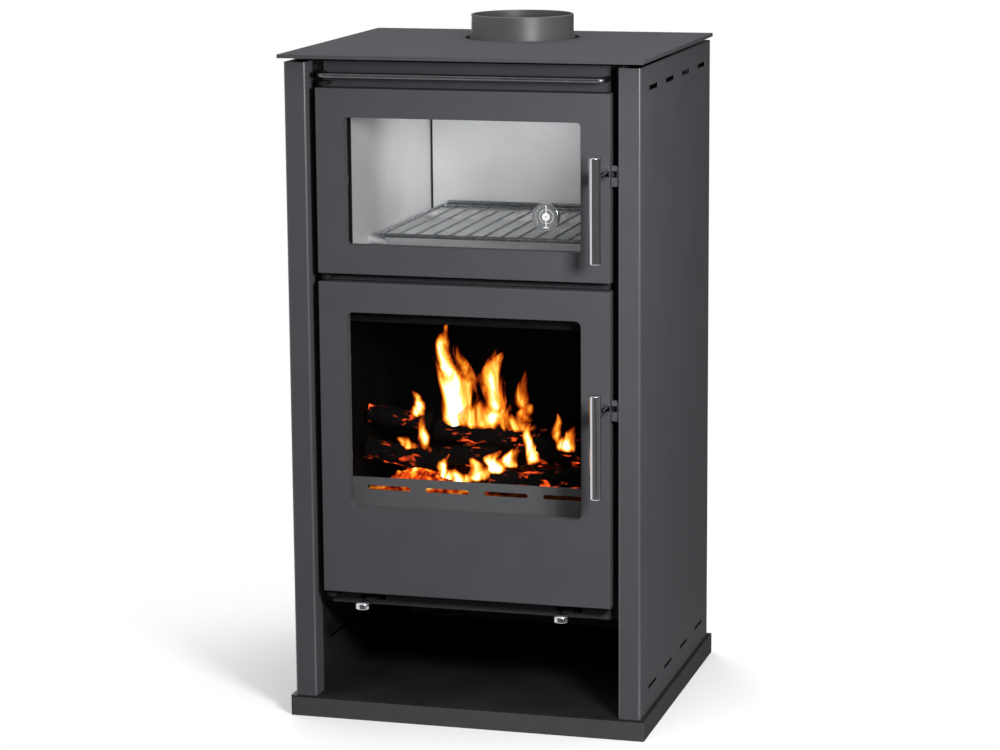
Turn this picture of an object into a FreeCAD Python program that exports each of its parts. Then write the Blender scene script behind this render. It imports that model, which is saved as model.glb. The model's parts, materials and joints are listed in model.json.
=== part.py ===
import FreeCAD
import Part
import math
import os

# Stove with oven: log store below, firebox in the middle, oven on top.
# Millimetres, +Z up, the front faces -Y, the origin is on the floor at the
# middle of the plinth.

# overall casing
BODY_W = 500.0
BODY_D = 452.0
SHEET = 2.0
BEND = 3.0
POST_W = 31.0
REAR_FLANGE = 20.0
REAR_SCREW_IN = 54.0

# plinth
PLINTH_H = 29.0
PLINTH_SIDE = 6.5
PLINTH_FRONT = 4.5
PLINTH_REAR = 2.5

# heights, stacked from the plinth up
LOG_STORE_H = 132.5
RAIL_H = 21.5
FIRE_DOOR_H = 440.5
DOOR_GAP = 12.0
OVEN_DOOR_H = 255.5
HEADER_H = 35.0
TOP_GAP = 6.0
TOP_T = 5.0
FLOOR_UP = 4.5

# top plate and flue
TOP_SIDE = 5.5
TOP_FRONT = 13.0
TOP_REAR_INSET = 10.0
TOP_CORNER = 2.0
FLUE_R = 74.0
FLUE_WALL = 3.0
FLUE_H = 33.5
FLUE_REAR = 127.0
FLUE_HOLE_GAP = 8.0
FLUE_RIM_R = 1.5
SHOULDER = 2.0
SHOULDER_UP = 1.0
FOOT_W = 14.0
FOOT_T = 4.0
SPACER_IN = 58.0
SPACER_W = 16.0
SPACER_L = 12.0
SPACER_FRONT = 1.0
SPACER_REAR = 4.0

# doors
DOOR_SIDE_GAP = 12.0
DOOR_SETBACK = 4.0
DOOR_T = 20.0
DOOR_SHEET = 2.5
DOOR_EDGE_R = 1.2
REVEAL = 2.0
STILE = 40.5
OVEN_TOP_RAIL = 39.5
OVEN_LOW_RAIL = 40.5
OVEN_WINDOW_R = 5.0
FIRE_TOP_RAIL = 41.0
FIRE_LOW_RAIL = 123.0
FIRE_WINDOW_R = 9.0
GLASS_T = 4.0
GLASS_LAP = 7.5
GLASS_PLAY = 3.0
GLASS_CORNER = 3.0
TAPE_T = 1.5
LINER_T = 2.0
SEAL_W = 9.0
SEAL_T = 8.0
SEAL_INSET = 9.5
SEAL_CORNER = 14.0
CLIP_T = 1.5
CLIP_IN = 75.0
CLIP_HALF = 7.0
CLIP_SHORT = 1.5
CLIP_FOOT = 9.0
CLIP_CORNER = 2.0

# hinges and latches
HINGE_IN = 9.0
PIN_R = 3.5
BUSH_WALL = 2.0
BUSH_L = 14.0
LUG_T = 5.0
LUG_W = 14.0
LUG_OUT = 6.5
LUG_ROUND = 6.0
PIN_SHORT = 1.0
HANDLE_R = 8.0
HANDLE_UP = 28.5
HANDLE_DOWN = 114.5
HANDLE_IN = 8.5
HANDLE_OUT = 50.0
HANDLE_END_R = 1.5
SADDLE = 3.0
BOSS_R = 8.4
SPINDLE_R = 3.5
OVEN_PIVOT_DOWN = 107.5
FIRE_PIVOT_DOWN = 160.0
TONGUE_T = 4.0
TONGUE_L = 13.0
TONGUE_HALF = 6.5
KEEPER_T = 2.5
KEEPER_UP = 11.5
KEEPER_DOWN = 16.5
KEEPER_SLOT = 9.0
KEEPER_ROUND = 6.0
KEEPER_BACK = 1.0

# front frame and inner body
FRAME_T = 3.0
CROSS_T = 3.0
CROSS_IN = 5.0
PLATE = 3.0
CASING_GAP = 39.0
REAR_SPACE = 20.0
OVEN_REAR_GAP = 22.0
OVEN_WALL = 2.0
OVEN_IN_SIDE = 0.5
OVEN_IN_LOW = 3.0
OVEN_IN_TOP = 4.5
FIRE_OPEN_UP = 20.0
FIRE_OPEN_TOP = 17.5
FIRE_OPEN_SIDE = 7.5
SHELF_UP = 1.0
SHELF_AIR_HALF = 62.0
SHELF_AIR_D = 40.0
ROOF_DOWN = 18.0
ROOF_T = 4.0
BRICK_T = 22.0
BRICK_TOP_GAP = 38.5
BRICK_PLAY = 0.5
SMOKE_GAP = 73.0
BED_T = 4.0
GRATE_UP = 107.0
GRATE_SIDE = 89.0
GRATE_END = 56.5
GRATE_SLOTS = 9
GRATE_LIP = 9.0
GRATE_RISE = 7.0
GRATE_DROP = 6.0
GRATE_PLAY = 1.0
GRATE_RIM = 10.0
GRATE_OPEN = 0.45
GUARD_DEPTH = 63.0
GUARD_T = 4.0
GUARD_H = 46.0
GUARD_SLOTS = 4
GUARD_ENDS = 70.0
GUARD_BRIDGE = 21.5
GUARD_SLOT_H = 7.0
GUARD_SLOT_DOWN = 14.5

# ash pan
PAN_SIDE_GAP = 14.0
PAN_FRONT_GAP = 17.0
PAN_REAR_GAP = 90.0
PAN_TOP_GAP = 24.0
PAN_T = 1.5
STRAP_HALF = 45.0
STRAP_OUT = 18.0
STRAP_T = 3.0
STRAP_H = 16.0

# log store walls
STORE_SLOT_H = 5.0
STORE_SLOT_L = 110.0
STORE_SLOT_UP = 69.5
STORE_SLOT_IN = 33.0

# front rail rod, air slides, side slots
RAIL_R = 4.0
RAIL_BEND = 8.0
RAIL_UP = 18.0
RAIL_IN = 3.6
AIR_IN = 64.4
AIR_SLOT_L = 37.5
AIR_SLOT_H = 7.0
AIR_UP = 10.5
LEVER_W = 10.0
LEVER_T = 3.0
KNOB_R = 11.5
KNOB_H = 10.0
KNOB_OUT = 15.0
KNOB_DOME = 4.8
KNOB_EDGE = 1.0
SHUTTER_HALF = 43.0
SHUTTER_D = 28.0
SHUTTER_BACK = 2.0
RISER_T = 6.0
INLET_HALF = 28.0
INLET_IN = 8.0
INLET_D = 16.0
SIDE_SLOT_H = 7.0
SIDE_SLOT_ENDS = 42.0
SIDE_SLOT_SHIFT = 7.0
SIDE_SLOT_BRIDGE = 45.5
SIDE_SLOTS = 4
SIDE_SLOT_TOP = 31.0
SIDE_SLOT_LOW = 30.5

# oven rack
RACK_SIDE_GAP = 18.4
RACK_WIRES = 11
RACK_FRAME_R = 2.5
RACK_WIRE_R = 1.75
RACK_CROSS_R = 2.2
RACK_CROSS_IN = 9.0
RACK_POST_R = 1.65
RACK_FRONT = 92.0
RACK_REAR_GAP = 5.0
RACK_LIFT = 6.0
RACK_UP = 20.0
RACK_CORNER = 10.0
STUD_R = 6.0
STUD_FRONT = 18.0
STUD_REAR = 30.0
STUD_UNDER = 4.0

# thermometer
DIAL_IN = 51.0
DIAL_UP = 46.0
DIAL_R = 19.0
DIAL_DEEP = 9.0
DIAL_WALL = 1.5
DIAL_EDGE_R = 1.0
FACE_T = 0.5
LENS_IN = 0.5
LENS_T = 1.2
STEM_R = 4.0
AXLE_R = 1.0
AXLE_L = 4.5
NUT_W = 4.0
NUT_T = 3.0
HUB_R = 5.5
HUB_T = 1.0
NEEDLE_HALF = 0.7
NEEDLE_T = 0.8
NEEDLE_L = 14.0
NEEDLE_TIP = 1.5
NEEDLE_FOOT = 3.5
NEEDLE_HEAD = 1.5

# screws
SCREW_R = 2.0
SCREW_HEAD_R = 3.6
SCREW_HEAD_H = 2.0
SCREW_TIP = 1.0
FRAME_SCREW_IN = 4.6
FRAME_SCREW_DOWN = 9.0

# fits
RUN = 0.05
SLIDE = 0.3
FREE = 1.5

# a fillet stops this short of a full half round
FILLET_REST = 0.05

# derived positions
V = FreeCAD.Vector
HALF = BODY_W / 2
FRONT = -(BODY_D + PLINTH_REAR - PLINTH_FRONT) / 2
REAR = FRONT + BODY_D
POST_IN = HALF - POST_W
DOOR_HALF = POST_IN - DOOR_SIDE_GAP
DOOR_Y = FRONT + DOOR_SETBACK
DOOR_BACK = DOOR_Y + DOOR_T
FRAME_Y = DOOR_BACK + SEAL_T
FRAME_BACK = FRAME_Y + FRAME_T
CROSS_Y = FRAME_Y - CROSS_T
CROSS_HALF = DOOR_HALF - CROSS_IN
INNER_HALF = HALF - SHEET - CASING_GAP - PLATE
INNER_BACK = REAR - REAR_SPACE
SPACER_X = INNER_HALF - SPACER_IN
FRAME_Z = PLINTH_H + LOG_STORE_H
FIRE_Z0 = FRAME_Z + RAIL_H
FIRE_Z1 = FIRE_Z0 + FIRE_DOOR_H
OVEN_Z0 = FIRE_Z1 + DOOR_GAP
OVEN_Z1 = OVEN_Z0 + OVEN_DOOR_H
BODY_Z = OVEN_Z1 + HEADER_H
TOP_Z0 = BODY_Z + TOP_GAP
TOP_Z1 = TOP_Z0 + TOP_T
FLUE_Z = TOP_Z1 + FLUE_H
FLUE_Y = REAR - FLUE_REAR
ROOF_Z1 = BODY_Z - ROOF_DOWN
ROOF_Z0 = ROOF_Z1 - ROOF_T
FLOOR_Z1 = FRAME_Z + FLOOR_UP
FLOOR_Z0 = FLOOR_Z1 - PLATE
WINDOW_HALF = DOOR_HALF - STILE
OVEN_W0 = OVEN_Z0 + OVEN_LOW_RAIL
OVEN_W1 = OVEN_Z1 - OVEN_TOP_RAIL
FIRE_W0 = FIRE_Z0 + FIRE_LOW_RAIL
FIRE_W1 = FIRE_Z1 - FIRE_TOP_RAIL
HINGE_X = -DOOR_HALF + HINGE_IN
HINGE_Y = DOOR_Y + DOOR_T / 2
HANDLE_X = DOOR_HALF - HANDLE_IN
HANDLE_Y = DOOR_Y - HANDLE_OUT
OVEN_PIVOT = OVEN_Z1 - OVEN_PIVOT_DOWN
FIRE_PIVOT = FIRE_Z1 - FIRE_PIVOT_DOWN
SEAL_END = SEAL_INSET + SEAL_W
OVEN_IN_HALF = WINDOW_HALF - OVEN_IN_SIDE
OVEN_IN_Z0 = OVEN_Z0 + SEAL_END + OVEN_IN_LOW
OVEN_IN_Z1 = OVEN_Z1 - SEAL_END - OVEN_IN_TOP
OVEN_BACK = INNER_BACK - OVEN_REAR_GAP
FIRE_OPEN_HALF = WINDOW_HALF + FIRE_OPEN_SIDE
FIRE_OPEN_Z0 = FIRE_Z0 + FIRE_OPEN_UP
FIRE_OPEN_Z1 = FIRE_W1 - FIRE_OPEN_TOP
SHELF_Z1 = FIRE_OPEN_Z0 + SHELF_UP
SHELF_Z0 = SHELF_Z1 - PLATE
GRATE_Z = FIRE_Z0 + GRATE_UP
BED_Z0 = GRATE_Z - BED_T
GUARD_Y = FRONT + GUARD_DEPTH
BRICK_Y = GUARD_Y + GUARD_T
BRICK_Z1 = FIRE_Z1 - BRICK_TOP_GAP
REAR_BRICK_Y = INNER_BACK - BRICK_T
GUARD_PITCH = (2 * INNER_HALF - GUARD_ENDS) / GUARD_SLOTS
GUARD_SLOT_L = GUARD_PITCH - GUARD_BRIDGE
GRATE_Y = (BRICK_Y + REAR_BRICK_Y) / 2
GRATE_HALF_X = INNER_HALF - BRICK_T - GRATE_SIDE
GRATE_HALF_Y = (REAR_BRICK_Y - BRICK_Y) / 2 - GRATE_END
RAIL_Y = FRONT
RAIL_Z = OVEN_Z1 + RAIL_UP
RAIL_HALF = DOOR_HALF - RAIL_IN
AIR_Z = FRAME_Z + AIR_UP
AIR_X = DOOR_HALF - AIR_IN
SHUTTER_Y = FRAME_BACK + SHUTTER_BACK
SIDE_SLOT_PITCH = (BODY_D - SIDE_SLOT_ENDS) / SIDE_SLOTS
SIDE_SLOT_L = SIDE_SLOT_PITCH - SIDE_SLOT_BRIDGE
FRAME_SCREW_X = POST_IN - FRAME_SCREW_IN
FRAME_SCREW_Z = BODY_Z - FRAME_SCREW_DOWN
LINER_Y = DOOR_BACK - LINER_T
GLASS_Y = DOOR_BACK - GLASS_T
TAPE_Y = GLASS_Y - TAPE_T
SKIN_Y = DOOR_Y + DOOR_SHEET
CLIP_Y = DOOR_BACK + CLIP_T
TONGUE_Y = DOOR_Y + DOOR_T / 2
DIAL_X = WINDOW_HALF - DIAL_IN
DIAL_Z = OVEN_W0 + DIAL_UP
RACK_Z = OVEN_IN_Z0 + RACK_UP
RACK_HALF = OVEN_IN_HALF - RACK_SIDE_GAP
RACK_PITCH = 2 * RACK_HALF / (RACK_WIRES + 1)
RACK_Y0 = FRONT + RACK_FRONT
RACK_Y1 = OVEN_BACK - RACK_REAR_GAP


def box(x0, x1, y0, y1, z0, z1):
    return Part.makeBox(x1 - x0, y1 - y0, z1 - z0, V(x0, y0, z0))


def rod_x(r, x0, x1, y, z):
    return Part.makeCylinder(r, x1 - x0, V(x0, y, z), V(1, 0, 0))


def rod_y(r, x, y0, y1, z):
    return Part.makeCylinder(r, y1 - y0, V(x, y0, z), V(0, 1, 0))


def rod_z(r, x, y, z0, z1):
    return Part.makeCylinder(r, z1 - z0, V(x, y, z0), V(0, 0, 1))


def fuse(shapes):
    body = shapes[0].fuse(shapes[1:]) if len(shapes) > 1 else shapes[0]
    return body.removeSplitter()


def cut(shape, tools):
    return shape.cut(Part.makeCompound(tools))


# edges that run along one axis and pass through a given point of the other two
def edges_at(shape, along, points):
    found = []
    for edge in shape.Edges:
        if len(edge.Vertexes) != 2:
            continue
        a = edge.Vertexes[0].Point
        b = edge.Vertexes[1].Point
        d = (b - a).normalize()
        if abs(abs(d.dot(along)) - 1) > 1e-6:
            continue
        for p in points:
            q = a - p
            if (q - along * q.dot(along)).Length < 0.01:
                found.append(edge)
    return found


def round_edges(shape, r, along, points):
    return shape.makeFillet(r, edges_at(shape, along, points))


# plate in the XZ plane between two depths, with rounded corners
def plate(x0, x1, z0, z1, y0, y1, r=0.0):
    shape = box(x0, x1, y0, y1, z0, z1)
    if r > 0:
        corners = [V(x, 0, z) for x in (x0, x1) for z in (z0, z1)]
        shape = round_edges(shape, r, V(0, 1, 0), corners)
    return shape


# ring in the XZ plane: a plate with a smaller plate taken out
def ring(x0, x1, z0, z1, width, y0, y1, r=0.0):
    inner_r = max(r - width, 0.0)
    hole = plate(x0 + width, x1 - width, z0 + width, z1 - width, y0 - 1, y1 + 1, inner_r)
    return plate(x0, x1, z0, z1, y0, y1, r).cut(hole)


def save(name, shapes):
    shapes = shapes if isinstance(shapes, list) else [shapes]
    solids = []
    for shape in shapes:
        solids.extend(shape.Solids)
    out = solids[0] if len(solids) == 1 else Part.makeCompound(solids)
    out.exportStep("parts/" + name + ".step")


def build_plinth():
    x = HALF + PLINTH_SIDE
    y0 = FRONT - PLINTH_FRONT
    y1 = REAR + PLINTH_REAR
    z = PLINTH_H - SHEET
    tray = box(-x, x, y0, y1, 0, z)
    tray = tray.cut(box(-x + SHEET, x - SHEET, y0 + SHEET, y1 - SHEET, SHEET, z + 1))
    corners = [V(a, b, 0) for a in (-x, x) for b in (y0, y1)]
    tray = round_edges(tray, BEND - 1, V(0, 0, 1), corners)
    floor = box(-x, x, y0, y1, z, PLINTH_H)
    floor = round_edges(floor, BEND - 1, V(0, 0, 1), corners)
    save("plinth_tray", tray)
    save("log_store_floor", floor)


# inner walls of the log store, in line with the posts, each with one long slot
def build_store_walls():
    walls = []
    for s in (-1, 1):
        x0 = POST_IN if s > 0 else -POST_IN - SHEET
        x1 = x0 + SHEET
        wall = fuse([
            box(x0, x1, FRAME_BACK, REAR - SHEET, PLINTH_H, FLOOR_Z0),
            box(x0, x1, FRAME_Y, FRAME_BACK, PLINTH_H, FRAME_Z),
        ])
        y0 = FRAME_Y + STORE_SLOT_IN
        z0 = PLINTH_H + STORE_SLOT_UP - STORE_SLOT_H / 2
        walls.append(wall.cut(box(x0 - 1, x1 + 1, y0, y0 + STORE_SLOT_L, z0, z0 + STORE_SLOT_H)))
    save("log_store_walls", walls)


# rear fixing screws sit in the side panels' rear flanges
def rear_screw_places():
    x = HALF - REAR_FLANGE / 2
    middle = (PLINTH_H + BODY_Z) / 2
    heights = [PLINTH_H + REAR_SCREW_IN, middle, BODY_Z - REAR_SCREW_IN]
    return [(s * x, z) for s in (-1, 1) for z in heights]


def build_sides():
    y1 = REAR - SHEET
    for name, s in (("left_side_panel", -1), ("right_side_panel", 1)):
        x_out = HALF
        z0 = PLINTH_H
        walls = [
            box(x_out - SHEET, x_out, FRONT, y1, z0, BODY_Z),
            box(POST_IN, x_out, FRONT, FRONT + SHEET, z0, BODY_Z),
            box(POST_IN, POST_IN + SHEET, FRONT, FRAME_Y, z0, BODY_Z),
            box(x_out - REAR_FLANGE, x_out, y1 - SHEET, y1, z0, BODY_Z),
        ]
        panel = fuse(walls)
        outside = [V(x_out, FRONT, 0), V(POST_IN, FRONT, 0), V(x_out, y1, 0)]
        inside = [
            V(x_out - SHEET, FRONT + SHEET, 0),
            V(POST_IN + SHEET, FRONT + SHEET, 0),
            V(x_out - SHEET, y1 - SHEET, 0),
        ]
        panel = round_edges(panel, BEND, V(0, 0, 1), outside)
        panel = round_edges(panel, BEND - SHEET, V(0, 0, 1), inside)
        tools = []
        first = (BODY_D - SIDE_SLOT_PITCH * (SIDE_SLOTS - 1)) / 2 + SIDE_SLOT_SHIFT
        for z in (BODY_Z - SIDE_SLOT_TOP, PLINTH_H + SIDE_SLOT_LOW):
            for k in range(SIDE_SLOTS):
                y = FRONT + first + SIDE_SLOT_PITCH * k
                half_l = SIDE_SLOT_L / 2
                half_h = SIDE_SLOT_H / 2
                slot = box(x_out - SHEET - 1, x_out + 1, y - half_l, y + half_l, z - half_h, z + half_h)
                tools.append(slot)
        for x, z in rear_screw_places():
            if x > 0:
                tools.append(rod_y(SCREW_R, x, y1 - SHEET - 1, y1 + 1, z))
        panel = cut(panel, tools)
        if s < 0:
            panel = panel.mirror(V(0, 0, 0), V(1, 0, 0))
        save(name, panel)


def build_back():
    panel = box(-HALF + 1, HALF - 1, REAR - SHEET, REAR, PLINTH_H, BODY_Z)
    holes = [rod_y(SCREW_R, x, REAR - SHEET - 1, REAR + 1, z) for x, z in rear_screw_places()]
    save("back_panel", cut(panel, holes))
    screws = []
    for x, z in rear_screw_places():
        head = rod_y(SCREW_HEAD_R, x, REAR, REAR + SCREW_HEAD_H, z)
        shank = rod_y(SCREW_R, x, REAR - 2 * SHEET, REAR, z)
        screws.append(fuse([head, shank]))
    for s in (-1, 1):
        x = s * FRAME_SCREW_X
        head = rod_y(SCREW_HEAD_R, x, FRAME_Y - SCREW_HEAD_H, FRAME_Y, FRAME_SCREW_Z)
        shank = rod_y(SCREW_R, x, FRAME_Y, FRAME_BACK, FRAME_SCREW_Z)
        screws.append(fuse([head, shank]))
    save("casing_screws", screws)


# body front: one plate with both openings, and three rails across it beside the doors' edges
def build_front_frame():
    x = POST_IN + SHEET + 4.0
    y0 = CROSS_Y - 1
    y1 = FRAME_BACK + 1
    slots = []
    tools = [
        plate(-OVEN_IN_HALF, OVEN_IN_HALF, OVEN_IN_Z0, OVEN_IN_Z1, y0, y1),
        plate(-FIRE_OPEN_HALF, FIRE_OPEN_HALF, FIRE_OPEN_Z0, FIRE_OPEN_Z1, y0, y1),
    ]
    for s in (-1, 1):
        half_l = AIR_SLOT_L / 2
        half_h = AIR_SLOT_H / 2
        x_mid = s * AIR_X
        slots.append(plate(x_mid - half_l, x_mid + half_l, AIR_Z - half_h, AIR_Z + half_h, y0, y1))
        tools.append(rod_y(SCREW_R, s * FRAME_SCREW_X, y0, y1, FRAME_SCREW_Z))
    front = box(-x, x, FRAME_Y, FRAME_BACK, FRAME_Z, BODY_Z)
    save("body_front", cut(front, tools + slots))
    x = CROSS_HALF
    low_rail = box(-x, x, CROSS_Y, FRAME_Y, FRAME_Z, FIRE_Z0)
    mid_rail = box(-x, x, CROSS_Y, FRAME_Y, FIRE_Z1, OVEN_Z0)
    header = box(-x, x, CROSS_Y, FRAME_Y, OVEN_Z1, BODY_Z)
    save("cross_rails", [cut(low_rail, slots), mid_rail, header])


def build_top():
    x = HALF + TOP_SIDE
    y0 = FRONT - TOP_FRONT
    y1 = REAR - TOP_REAR_INSET
    top = box(-x, x, y0, y1, TOP_Z0, TOP_Z1)
    corners = [V(a, b, 0) for a in (-x, x) for b in (y0, y1)]
    top = round_edges(top, TOP_CORNER, V(0, 0, 1), corners)
    hole = rod_z(FLUE_R + FLUE_HOLE_GAP, 0, FLUE_Y, TOP_Z0 - 1, TOP_Z1 + 1)
    save("top_plate", top.cut(hole))
    spacers = []
    half = SPACER_W / 2
    for x in (-SPACER_X, SPACER_X):
        for y in (FRAME_BACK + SPACER_FRONT, INNER_BACK - SPACER_REAR - SPACER_L):
            spacers.append(box(x - half, x + half, y, y + SPACER_L, ROOF_Z1, TOP_Z0))
    save("top_plate_spacers", spacers)


# flue collar: spigot above the top plate, wider neck below it, welded foot ring
def build_flue():
    inner = FLUE_R - FLUE_WALL
    shoulder_z = TOP_Z1 + SHOULDER_UP
    spigot = rod_z(FLUE_R, 0, FLUE_Y, shoulder_z, FLUE_Z)
    rim = [e for e in spigot.Edges if abs(e.BoundBox.ZMin - FLUE_Z) < 0.01 and e.BoundBox.ZLength < 0.01]
    spigot = spigot.makeFillet(FLUE_RIM_R, rim)
    neck = rod_z(FLUE_R + SHOULDER, 0, FLUE_Y, ROOF_Z1, shoulder_z)
    foot = rod_z(FLUE_R + SHOULDER + FOOT_W, 0, FLUE_Y, ROOF_Z1, ROOF_Z1 + FOOT_T)
    collar = fuse([spigot, neck, foot])
    collar = collar.cut(rod_z(inner, 0, FLUE_Y, ROOF_Z1 - 1, FLUE_Z + 1))
    save("flue_collar", collar)
    wide = INNER_HALF + PLATE
    roof = box(-wide, wide, FRAME_BACK, INNER_BACK + PLATE, ROOF_Z0, ROOF_Z1)
    save("smoke_roof", roof.cut(rod_z(inner, 0, FLUE_Y, ROOF_Z0 - 1, ROOF_Z1 + 1)))


def build_inner_body():
    wide = INNER_HALF + PLATE
    wrap = box(-wide, wide, FRAME_BACK, INNER_BACK + PLATE, FLOOR_Z1, ROOF_Z0)
    wrap = wrap.cut(box(-INNER_HALF, INNER_HALF, FRAME_BACK - 1, INNER_BACK, FLOOR_Z1 - 1, ROOF_Z0 + 1))
    save("inner_wrap", wrap)
    x = HALF - SHEET
    floor = box(-x, x, FRAME_BACK, REAR - 2 * SHEET, FLOOR_Z0, FLOOR_Z1)
    inlets = []
    for s in (-1, 1):
        x_mid = s * AIR_X
        x0 = x_mid - INLET_HALF
        x1 = x_mid + INLET_HALF
        y0 = SHUTTER_Y + INLET_IN
        inlets.append(box(x0, x1, y0, y0 + INLET_D, FLOOR_Z0 - 1, FLOOR_Z1 + 1))
    save("body_floor", cut(floor, inlets))
    shelf = box(-INNER_HALF, INNER_HALF, FRAME_BACK, INNER_BACK, SHELF_Z0, SHELF_Z1)
    x = SHELF_AIR_HALF
    y1 = INNER_BACK - BRICK_T
    air = box(-x, x, y1 - SHELF_AIR_D, y1, SHELF_Z0 - 1, SHELF_Z1 + 1)
    save("ash_shelf", shelf.cut(air))


def build_hearth():
    bed = box(-INNER_HALF, INNER_HALF, FRAME_BACK, INNER_BACK, BED_Z0, GRATE_Z)
    gx = GRATE_HALF_X
    gy = GRATE_HALF_Y
    hole = box(-gx, gx, GRATE_Y - gy, GRATE_Y + gy, BED_Z0 - 1, GRATE_Z + 1)
    save("grate_bed", bed.cut(hole))
    lx = gx - GRATE_PLAY
    ly = gy - GRATE_PLAY
    lower = box(-lx, lx, GRATE_Y - ly, GRATE_Y + ly, GRATE_Z - GRATE_DROP, GRATE_Z)
    ox = gx + GRATE_LIP
    oy = gy + GRATE_LIP
    upper = box(-ox, ox, GRATE_Y - oy, GRATE_Y + oy, GRATE_Z, GRATE_Z + GRATE_RISE)
    grate = fuse([lower, upper])
    slots = []
    pitch = 2 * gx / (GRATE_SLOTS + 0.5)
    w = pitch * GRATE_OPEN / 2
    end = gy / 2 - GRATE_RIM
    z0 = GRATE_Z - GRATE_DROP - 1
    z1 = GRATE_Z + GRATE_RISE + 1
    for k in range(GRATE_SLOTS):
        x = (k - (GRATE_SLOTS - 1) / 2) * pitch
        for y in (GRATE_Y - gy / 2, GRATE_Y + gy / 2):
            slots.append(box(x - w, x + w, y - end, y + end, z0, z1))
    save("grate", cut(grate, slots))

    bricks = []
    for s in (-1, 1):
        x0 = min(s * INNER_HALF, s * (INNER_HALF - BRICK_T))
        bricks.append(box(x0, x0 + BRICK_T, BRICK_Y, REAR_BRICK_Y, GRATE_Z, BRICK_Z1))
    bricks.append(box(-INNER_HALF, INNER_HALF, REAR_BRICK_Y, INNER_BACK, GRATE_Z, BRICK_Z1))
    x = INNER_HALF - BRICK_PLAY
    baffle = box(-x, x, BRICK_Y, REAR_BRICK_Y - SMOKE_GAP, BRICK_Z1, BRICK_Z1 + BRICK_T)
    save("firebox_lining", bricks + [baffle])

    guard = box(-x, x, GUARD_Y, BRICK_Y, GRATE_Z, GRATE_Z + GUARD_H)
    holes = []
    z = GRATE_Z + GUARD_H - GUARD_SLOT_DOWN
    for k in range(GUARD_SLOTS):
        x = (k - (GUARD_SLOTS - 1) / 2) * GUARD_PITCH
        half_l = GUARD_SLOT_L / 2
        half_h = GUARD_SLOT_H / 2
        end_r = half_h - FILLET_REST
        slot = plate(x - half_l, x + half_l, z - half_h, z + half_h, GUARD_Y - 1, BRICK_Y + 1, end_r)
        holes.append(slot)
    save("log_guard", cut(guard, holes))


# ash pan: folded tray, and a strap handle welded to its front
def build_ash_pan():
    x = FIRE_OPEN_HALF - PAN_SIDE_GAP
    y0 = FRAME_BACK + PAN_FRONT_GAP
    y1 = INNER_BACK - PAN_REAR_GAP
    z1 = BED_Z0 - PAN_TOP_GAP
    t = PAN_T
    pan = box(-x, x, y0, y1, SHELF_Z1, z1)
    pan = pan.cut(box(-x + t, x - t, y0 + t, y1 - t, SHELF_Z1 + t, z1 + 1))
    z = (SHELF_Z1 + z1) / 2
    h = STRAP_H / 2
    a = STRAP_HALF - STRAP_T
    strap = box(-STRAP_HALF, STRAP_HALF, y0 - STRAP_OUT, y0, z - h, z + h)
    strap = strap.cut(box(-a, a, y0 - STRAP_OUT + STRAP_T, y0 + 1, z - h - 1, z + h + 1))
    save("ash_pan", pan)
    save("ash_pan_handle", strap)


def build_oven():
    t = OVEN_WALL
    a = OVEN_IN_HALF
    shell = box(-a - t, a + t, FRAME_BACK, OVEN_BACK + t, OVEN_IN_Z0 - t, OVEN_IN_Z1 + t)
    shell = shell.cut(box(-a, a, FRAME_BACK - 1, OVEN_BACK, OVEN_IN_Z0, OVEN_IN_Z1))
    save("oven_shell", shell)
    studs = []
    stud_z = RACK_Z - RACK_FRAME_R - STUD_R
    for s in (-1, 1):
        for y in (RACK_Y0 + STUD_FRONT, RACK_Y1 - STUD_REAR):
            length = RACK_SIDE_GAP + STUD_UNDER
            x0 = a - length if s > 0 else -a
            studs.append(rod_x(STUD_R, x0, x0 + length, y, stud_z))
    save("rack_studs", studs)


# wire rack: a bent frame loop, wires from front to back, and a raised stop at the rear
def build_rack():
    half = RACK_HALF
    y0 = RACK_Y0
    y1 = RACK_Y1
    top = RACK_Z + RACK_LIFT
    r = RACK_CORNER
    base = Part.makePlane(2 * half, y1 - y0, V(-half, y0, RACK_Z))
    block = base.extrude(V(0, 0, 1))
    block = round_edges(block, r, V(0, 0, 1), [V(a, b, 0) for a in (-half, half) for b in (y0, y1)])
    low = [f for f in block.Faces if f.BoundBox.ZLength < 0.01 and abs(f.BoundBox.ZMin - RACK_Z) < 0.01]
    section = Part.Wire([Part.makeCircle(RACK_FRAME_R, V(0, y0, RACK_Z), V(1, 0, 0))])
    loop = low[0].OuterWire.makePipeShell([section], True, False)
    wires = [loop]
    wires.append(rod_x(RACK_CROSS_R, -half, half, y0 + RACK_CROSS_IN, RACK_Z))
    reach = half - r
    wires.append(rod_x(RACK_CROSS_R, -reach, reach, y1, top))
    for k in range(RACK_WIRES):
        x = (k - (RACK_WIRES - 1) / 2) * RACK_PITCH
        wires.append(rod_y(RACK_WIRE_R, x, y0, y1, RACK_Z))
        wires.append(rod_z(RACK_POST_R, x, y1, RACK_Z, top))
    for x in (-reach, reach):
        wires.append(rod_z(RACK_CROSS_R, x, y1, RACK_Z, top))
    save("oven_rack", fuse(wires))


def build_front_rail():
    leg = RAIL_HALF - RAIL_R
    bend = leg - RAIL_BEND
    y = RAIL_Y
    z = RAIL_Z
    k = RAIL_BEND * (1 - math.sqrt(0.5))
    path = []
    path.append(Part.makeLine(V(-leg, CROSS_Y, z), V(-leg, y + RAIL_BEND, z)))
    path.append(Part.Arc(V(-leg, y + RAIL_BEND, z), V(-leg + k, y + k, z), V(-bend, y, z)).toShape())
    path.append(Part.makeLine(V(-bend, y, z), V(bend, y, z)))
    path.append(Part.Arc(V(bend, y, z), V(leg - k, y + k, z), V(leg, y + RAIL_BEND, z)).toShape())
    path.append(Part.makeLine(V(leg, y + RAIL_BEND, z), V(leg, CROSS_Y, z)))
    section = Part.Wire([Part.makeCircle(RAIL_R, V(-leg, CROSS_Y, z), V(0, 1, 0))])
    save("front_rail", Part.Wire(path).makePipeShell([section], True, False))


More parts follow.
